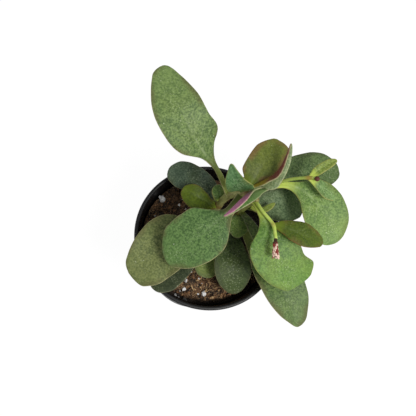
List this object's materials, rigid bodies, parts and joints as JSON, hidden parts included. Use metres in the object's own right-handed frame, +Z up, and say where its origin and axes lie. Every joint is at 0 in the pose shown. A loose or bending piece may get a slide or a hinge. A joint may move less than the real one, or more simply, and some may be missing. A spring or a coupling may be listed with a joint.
{
  "type": "potted crassula",
  "caption": "Young crassula with broad fleshy leaves on two leaning stems, thin flower stalks and buds, in a small round black plastic nursery pot.",
  "frame": {"origin": "middle of the pot's flat underside, where it rests", "axes": "+Z up, the pot's own axis; +X to the right of the picture, +Y to its top"},
  "size_m": [0.1394, 0.1466, 0.1579],
  "materials": {
    "pot_plastic": "satin black moulded plastic",
    "potting_mix": "damp peat, bark fibres and white perlite",
    "stem": "brown-green fleshy stem",
    "stalk": "bright green thin stalk",
    "buds": "red and white buds",
    "leaf_mid": "speckled mid green, pale midrib",
    "leaf_bright": "speckled bright green, yellow-green base",
    "leaf_olive": "smooth olive green with a reddish margin",
    "leaf_dark": "dark blue-green",
    "leaf_pink": "magenta pink underside, green upper side",
    "leaf_red": "dark red underside, grey-green upper side"
  },
  "bodies": {
    "root": {"pot": "pot_plastic", "soil": "potting_mix", "stem_main": "stem", "stem_branch": "stem", "stalk_front": "stalk", "stalk_right": "stalk", "buds_front": "buds", "bud_right": "buds", "leaf_01_tall_upper_left": "leaf_mid", "leaf_02_dark_left": "leaf_dark", "leaf_03_small_olive_left": "leaf_olive", "leaf_04_short_left": "leaf_bright", "leaf_05_large_front_left": "leaf_mid", "leaf_06_folded_pink": "leaf_pink", "leaf_07_folded_red": "leaf_red", "leaf_08_central": "leaf_bright", "leaf_09_olive_top": "leaf_olive", "leaf_10_small_folded_right": "leaf_bright", "leaf_11_small_right": "leaf_bright", "leaf_12_oval_front_right": "leaf_olive", "leaf_13_large_right": "leaf_bright", "leaf_14_bright_front": "leaf_bright", "leaf_15_dark_upper_right": "leaf_dark", "leaf_16_dark_right": "leaf_dark", "leaf_17_shaded_centre": "leaf_dark", "leaf_18_shaded_front": "leaf_dark", "leaf_19_lower_centre": "leaf_dark", "leaf_20_bottom_right": "leaf_mid", "leaf_21_large_left": "leaf_mid", "leaf_22_low_left": "leaf_dark", "leaf_23_low_front": "leaf_dark", "leaf_24_tiny_young": "leaf_bright"}
  },
  "joints": []
}
